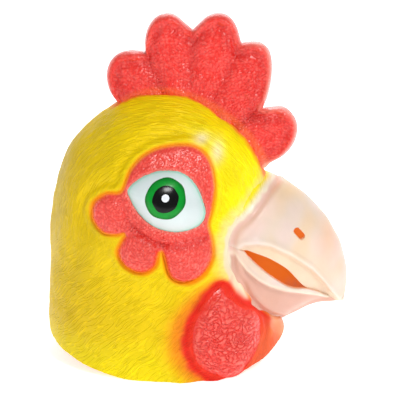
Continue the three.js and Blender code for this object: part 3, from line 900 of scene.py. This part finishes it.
def fan_pad(name, side, ring, centre, rows, height, back=in_skin):
    """A closed pad over the hood's side: height(x, z, rho) rises over it and back(x, z) is under it."""
    ring = np.asarray(ring)
    rho = np.concatenate([np.linspace(0, 1, rows + 1)[1:], np.linspace(1, 0, 7)[:-1]])
    x = centre[0] + rho[:, None] * (ring[:, 0] - centre[0])
    z = centre[1] + rho[:, None] * (ring[:, 1] - centre[1])
    lift = np.where(np.arange(len(rho))[:, None] < rows, height(x, z, rho[:, None] + 0 * x), back(x, z))
    y = side * (hood_side(x, z) + lift)
    points = np.stack([x, y, z], -1)
    tip = np.array([centre[0], side * (hood_side(*map(np.float64, centre)) + float(
        height(np.array(centre[0], float), np.array(centre[1], float), np.array(0.0)))), centre[1]])
    piece = closed_rings(name, points, apex=tip)
    return piece


def spots(piece):
    where = points_of(piece)
    return where, where[:, 0], where[:, 2]


def side_name(base, side):
    return f"{base}_{'left' if side > 0 else 'right'}"


def patch_height(x, z, rho):
    inside = -from_outline(x, z, patch_ring)
    eye = from_outline(x, z, eye_ring)
    lower = smooth(158, 140, z - 0.25 * (x - 30)) * smooth(4, 12, eye)
    height = 2.4 * smooth(0, 5, inside) ** 0.6 - 1.0 + 1.2 * lower * smooth(0, 13, inside) ** 0.7
    for lobe_x, lobe_z, reach in ((-26.5, 174, 18), (4.5, 134, 21), (54.5, 128, 26)):
        away = np.hypot(x - lobe_x, z - lobe_z) / reach
        height += 5.0 * np.sqrt(np.clip(1 - away**2, 0, 1)) * smooth(0, 5, inside) * smooth(6, 12, eye)
    height += 1.6 * bump(eye - 3.5, 3.2) + 1.0 * smooth(180, 215, z) * smooth(3, 9, eye)
    height -= 2.4 * bump(eye - 13.5, 2.6) * smooth(175, 160, z) * smooth(3, 8, inside)
    height -= 2.2 * smooth(1, -3, eye)
    grain = np.stack([x, 0 * x, z], -1)
    return height + 1.1 * pebbles(grain, 4.6, 51) * smooth(1, 6, inside) + 0.5 * waves(grain, 14, 52)


def eye_patch(side):
    ring = curve_through(PATCH_RING, True, 440)
    piece = fan_pad(side_name("red_patch", side), side, ring, PATCH_CENTRE, 130, patch_height)
    where, x, z = spots(piece)
    inside = -from_outline(x, z, patch_ring)
    eye = from_outline(x, z, eye_ring)
    grain = pebbles(np.column_stack([x, 0 * x, z]), 4.6, 51)
    paint = np.tile(CORAL, (len(where), 1))
    # painted shade: deep red in the creases between the pebbles
    paint = tint(paint, 0.75 * (1 - grain), RED_IN_PAINTED_SHADE)
    # a pale coral tone over the whole patch, and a painted highlight on the tops of the pebbles
    paint = tint(paint, 0.16 + 0.34 * smooth(0.8, 1.0, grain), PALE_CORAL_AND_HIGHLIGHT)
    # painted shade: deep red in the groove below the eye
    paint = tint(paint, 0.6 * bump(eye - 13, 4) * smooth(185, 160, z), RED_IN_PAINTED_SHADE)
    paint = tint(paint, 0.45 * smooth(3, 0, eye), PALE_CORAL_AND_HIGHLIGHT)
    paint = tint(paint, smooth(3.2, 0.3, inside), ORANGE)
    store(piece, "paint", paint)
    return finished(piece, red_latex, "head", "red_latex", side_name("eye_patch", side))


def eye_height(x, z, rho):
    return 0.6 + 12.2 * np.clip(1 - rho**2.3, 0, 1) ** 0.85


def eye_share(x, z):
    """0 at the eye's middle, 1 on its outline, for any place inside it."""
    angle = np.arctan2(z - EYE_CENTRE[1], x - EYE_CENTRE[0])
    ring_angle = np.arctan2(eye_ring[:, 1] - EYE_CENTRE[1], eye_ring[:, 0] - EYE_CENTRE[0])
    ring_reach = np.hypot(eye_ring[:, 1] - EYE_CENTRE[1], eye_ring[:, 0] - EYE_CENTRE[0])
    order = np.argsort(ring_angle)
    reach = np.interp(angle, ring_angle[order], ring_reach[order], period=2 * math.pi)
    return np.hypot(x - EYE_CENTRE[0], z - EYE_CENTRE[1]) / reach


def eye_white(side):
    ring = curve_through(EYE_RING, True, 200)
    piece = fan_pad(side_name("eyeball", side), side, ring, EYE_CENTRE, 60, eye_height)
    where, x, z = spots(piece)
    rho = eye_share(x, z)
    paint = np.tile(colour(214, 226, 226), (len(where), 1))
    paint = tint(paint, 0.3 * smooth(0.75, 0.95, rho), colour(160, 216, 196))
    paint = tint(paint, 0.7 * bump(rho - 0.955, 0.025), colour(120, 206, 176))
    store(piece, "paint", paint)
    return finished(piece, eye_gloss, "head", "eye_white_paint", side_name("eye_white", side))


def eye_round(name, node, slot, side, centre, radius, lift, shades, seed):
    """A thin painted round that follows the eyeball, with a slightly uneven hand-painted edge."""
    angle = np.linspace(0, 2 * math.pi, 120, endpoint=False)
    draw = np.random.default_rng(seed)
    wobble = sum(draw.uniform(-0.16, 0.16) * np.sin(k * angle + draw.uniform(0, 6)) for k in range(2, 9))
    reach = radius + wobble * radius / 14
    ring = np.column_stack([centre[0] + reach * np.cos(angle), centre[1] + reach * np.sin(angle)])

    def height(x, z, rho):
        return eye_height(x, z, eye_share(x, z)) + lift * np.clip(1.02 - rho**6, 0, 1) ** 0.5

    def under(x, z):
        return eye_height(x, z, eye_share(x, z)) - 0.5

    piece = fan_pad(side_name(name, side), side, ring, centre, 24, height, under)
    where, x, z = spots(piece)
    radial = np.hypot(x - centre[0], z - centre[1]) / radius
    paint = np.tile(shades[0], (len(where), 1))
    paint = tint(paint, 0.7 * smooth(0.82, 1.0, radial), shades[1])
    paint = tint(paint, 0.3 * np.clip(waves(where, 7, seed), 0, 1), shades[1])
    store(piece, "paint", paint)
    return finished(piece, eye_gloss, "head", slot, side_name(node, side))


def wattle_wrinkles(grain):
    return pebbles(grain * [0.8, 1, 1.1] + waves(grain, 22, 61)[..., None] * 2, 6, 62)


def wattle_height(x, z, rho):
    inside = -from_outline(x, z, wattle_ring)
    grain = np.stack([x, 0 * x, z], -1)
    wrinkle = wattle_wrinkles(grain)
    body = 8.5 * smooth(0, 20, inside) ** 0.6 - 1.0
    return body + (1.9 * wrinkle + 0.5 * pebbles(grain, 3, 63)) * smooth(1, 9, inside)


def wattle(side):
    ring = curve_through(WATTLE_RING, True, 320)
    piece = fan_pad(side_name("red_wattle", side), side, ring, WATTLE_CENTRE, 110, wattle_height)
    where, x, z = spots(piece)
    inside = -from_outline(x, z, wattle_ring)
    wrinkle = wattle_wrinkles(np.column_stack([x, 0 * x, z]))
    paint = np.tile(CORAL, (len(where), 1))
    # painted shade: deep red in the creases between the wrinkles
    paint = tint(paint, 0.7 * (1 - wrinkle), RED_IN_PAINTED_SHADE)
    # a pale coral tone over the whole wattle, and a painted highlight on the wrinkle tops
    paint = tint(paint, 0.12 + 0.4 * smooth(0.75, 1, wrinkle), PALE_CORAL_AND_HIGHLIGHT)
    paint = tint(paint, 0.8 * smooth(7, 0, inside), colour(232, 44, 24))
    store(piece, "paint", paint)
    return finished(piece, red_latex, "head", "red_latex", side_name("wattle", side))


# ------------------------------------------------------------------ comb
COMB_LOBES = [
    [(-19.8, 271.5), (-26, 280.8), (-32, 290), (-34.8, 304), (-32.4, 316.5), (-26, 325.5), (-16.7, 330.6),
     (-5.7, 332.1), (6.7, 330.6)],
    [(6.7, 330.6), (7.2, 346), (11.9, 359), (20, 367.4), (31.2, 370.6), (40.2, 368), (49.3, 360.4),
     (57.4, 353.7)],
    [(57.4, 353.7), (65.6, 361.5), (72.8, 367.4), (81.9, 370.6), (91.5, 369.6), (99.5, 363.5), (104.5, 354.5),
     (107.3, 345), (108.9, 339.8)],
    [(108.9, 339.8), (118, 341.2), (128, 340.6), (136.4, 335), (140.6, 325.5), (141.8, 312), (140.6, 298),
     (137.3, 283), (132.6, 271)],
    [(132.6, 271), (143.3, 272.2), (154.3, 272.4), (162.8, 266.6), (169.1, 256), (170, 244), (165.4, 230.8),
     (155.4, 219.4), (142.5, 211.8), (137.9, 207)],
]
COMB_HEART = (50, 225)
COMB_HALF_THICKNESS = 15.5


def comb_edge(columns):
    """The lobed outline as seen from the comb's heart, evenly stepped around it."""
    upper = np.vstack([curve_through(lobe, False, 70)[:-1] for lobe in COMB_LOBES] + [[COMB_LOBES[-1][-1]]])
    lower = np.array([(100, 190), (50, 195), (0, 215), (-20, 250)])
    ring = np.vstack([upper, lower])
    closed = np.vstack([ring, ring[:1]])
    run = np.concatenate([[0], np.cumsum(np.linalg.norm(np.diff(closed, axis=0), axis=1))])
    wanted = np.linspace(0, run[-1], columns, endpoint=False)
    return np.column_stack([np.interp(wanted, run, closed[:, k]) for k in range(2)])


def valley_lines():
    """From each notch between two lobes, a little over half the way to the comb's heart."""
    notches = [lobe[0] for lobe in COMB_LOBES[1:]]
    return [[(x, z), (0.45 * x + 0.55 * COMB_HEART[0], 0.45 * z + 0.55 * COMB_HEART[1])] for x, z in notches]


def comb_skin():
    rows, columns = 120, 560
    edge = comb_edge(columns)
    rho = np.linspace(0, 1, rows + 1)[1:, None] ** 0.85
    x = COMB_HEART[0] + rho * (edge[:, 0] - COMB_HEART[0])
    z = COMB_HEART[1] + rho * (edge[:, 1] - COMB_HEART[1])
    reach = np.hypot(edge[:, 0] - COMB_HEART[0], edge[:, 1] - COMB_HEART[1])
    inside = (1 - rho) * reach
    round_edge = np.clip(1 - (1 - np.clip(inside / 11, 0, 1)) ** 2.2, 0, 1) ** 0.5
    valley = sum(bump(from_line(x, z, line), 7) * smooth(95, 25, inside) for line in valley_lines())
    rim = bump(inside - 5, 4)
    grain = np.stack([x, 0 * x, z], -1)
    plain = COMB_HALF_THICKNESS * (0.78 + 0.22 * smooth(120, 40, rho * reach)) - 3.4 * np.clip(valley, 0, 1)
    plain += 1.6 * rim - 1.7 * bump(inside - 14, 5)
    parts = []
    for side in (-1, 1):
        rough = 1.5 * pebbles(grain, 4.4, 71 + side) + 1.1 * waves(grain, 20, 75 + side)
        parts.append(side * np.maximum((plain + rough * smooth(0, 8, inside)) * round_edge, 0.0))
    right = np.stack([x, parts[0], z], -1)
    left = np.stack([x, parts[1], z], -1)[::-1][1:]
    points = np.concatenate([right, left])
    heart_y = COMB_HALF_THICKNESS
    piece = closed_rings("comb", points, apex=(COMB_HEART[0], -heart_y, COMB_HEART[1]))
    piece = combine(piece, "DIFFERENCE", hood_form("under_comb", -2.4))
    where = points_of(piece)
    x, y, z = where.T
    outline = edge[np.hypot(*(edge - COMB_HEART).T) > 40]
    inside = from_line(x, z, outline[outline[:, 1] > 204])
    grain = pebbles(np.column_stack([x, 0 * x, z]), 4.4, 70)
    root = from_line(x, z, root_line)
    valley = np.max([bump(from_line(x, z, line), 6) for line in valley_lines()], axis=0)
    front = smooth(104, 128, x)
    paint = np.tile(CORAL, (len(where), 1))
    # painted shade in the creases between the pebbles and a painted highlight on their tops
    paint = tint(paint, 0.5 * (1 - grain), RED_IN_PAINTED_SHADE)
    paint = tint(paint, 0.25 * smooth(0.75, 1, grain), PALE_CORAL_AND_HIGHLIGHT)
    # painted shade: darker red down the valleys between the lobes
    paint = tint(paint, 0.25 * valley * smooth(90, 30, inside), DARKER_RED_IN_PAINTED_SHADE)
    # painted reflection: pale coral along the comb's rounded edge, strongest at the front
    paint = tint(paint, (0.25 + 0.5 * front) * smooth(8, 2, inside), PALE_CORAL_AND_HIGHLIGHT)
    # painted shade: darker red in the groove inside the comb's rim
    paint = tint(paint, 0.28 * bump(inside - 13, 5), DARKER_RED_IN_PAINTED_SHADE)
    paint = tint(paint, 0.8 * smooth(9, 2, root), colour(250, 96, 40))
    paint = tint(paint, 0.6 * bump(np.hypot(x - 137, z - 208), 7), PINK_CREAM)
    store(piece, "paint", paint)
    finished(piece, red_latex, None, "red_latex", "comb_skin", "comb_foam_core")
    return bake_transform(piece)


# ------------------------------------------------------------------ studio
def studio():
    profile = []
    for t in np.linspace(0, 1, 40):
        if t < 0.45:
            profile.append((-9000 + t / 0.45 * 10500, 0))
        elif t < 0.75:
            bend = (t - 0.45) / 0.3 * math.pi / 2
            profile.append((1500 + 900 * math.sin(bend), 900 - 900 * math.cos(bend)))
        else:
            profile.append((2400, 900 + (t - 0.75) / 0.25 * 2600))
    points = np.array([[x, y, z - 0.2] for y, z in profile for x in (-14000, 14000)])
    sweep = make_object("studio_sweep", points, grid_faces(len(profile), 2))
    sweep.data.polygons.foreach_set("use_smooth", [True] * len(sweep.data.polygons))
    paper = bpy.data.materials.new("pale_paper")
    paper.use_nodes = True
    shader = paper.node_tree.nodes["Principled BSDF"]
    shader.inputs["Base Color"].default_value = (0.93, 0.93, 0.93, 1)
    shader.inputs["Roughness"].default_value = 0.9
    shader.inputs["Emission Color"].default_value = (1, 1, 1, 1)
    shader.inputs["Emission Strength"].default_value = 0.62
    sweep.data.materials.append(paper)
    for name, place, size, power in (
        ("key_light", (900, -1200, 1500), 0.4, 17),
        ("fill_light", (-1300, -1300, 700), 1.4, 4),
        ("back_light", (200, 1500, 1700), 1.4, 9),
    ):
        lamp = bpy.data.lights.new(name, "AREA")
        lamp.size = size
        lamp.energy = power
        light = bpy.data.objects.new(name, lamp)
        light.location = Vector(in_frame(place))
        aim = Vector(in_frame((60, 0, 170))) - light.location
        light.rotation_euler = aim.to_track_quat("-Z", "Y").to_euler()
        bpy.context.scene.collection.objects.link(light)
    world = bpy.data.worlds.new("studio_air")
    world.use_nodes = True
    world.node_tree.nodes["Background"].inputs["Color"].default_value = (1, 1, 1, 1)
    world.node_tree.nodes["Background"].inputs["Strength"].default_value = 0.36
    bpy.context.scene.world = world
    bpy.context.scene.view_settings.view_transform = "Standard"


def camera():
    aim = Vector(in_frame((65, 1, 168.5)))
    azimuth, elevation, distance = math.radians(1.2), math.radians(13.2), 1.0023
    back = Vector((math.sin(azimuth) * math.cos(elevation), -math.cos(azimuth) * math.cos(elevation),
                   math.sin(elevation)))
    lens = bpy.data.cameras.new("camera")
    lens.lens = 36 / 0.44
    lens.sensor_width = 36
    view = bpy.data.objects.new("camera", lens)
    view.location = aim + back * distance
    view.rotation_euler = (-back).to_track_quat("-Z", "Y").to_euler()
    bpy.context.scene.collection.objects.link(view)
    bpy.context.scene.camera = view


camera()
studio()
for side in (-1, 1):
    hood_half(side)
    eye_patch(side)
    eye_white(side)
    green = (colour(0, 146, 42), colour(0, 96, 30))
    eye_round("green_iris", "iris", "eye_green_paint", side, IRIS_CENTRE, 20, 0.35, green, 81)
    black = (colour(4, 4, 5), colour(9, 10, 11))
    eye_round("black_pupil", "pupil", "eye_black_paint", side, IRIS_CENTRE, 13.8, 0.6, black, 82)
    white = (colour(232, 236, 242), colour(208, 214, 222))
    eye_round("white_dot", "catchlight", "eye_white_paint", side, (33, 194), 4.2, 0.85, white, 83)
    wattle(side)
beak_half(True)
beak_half(False)
comb_skin()
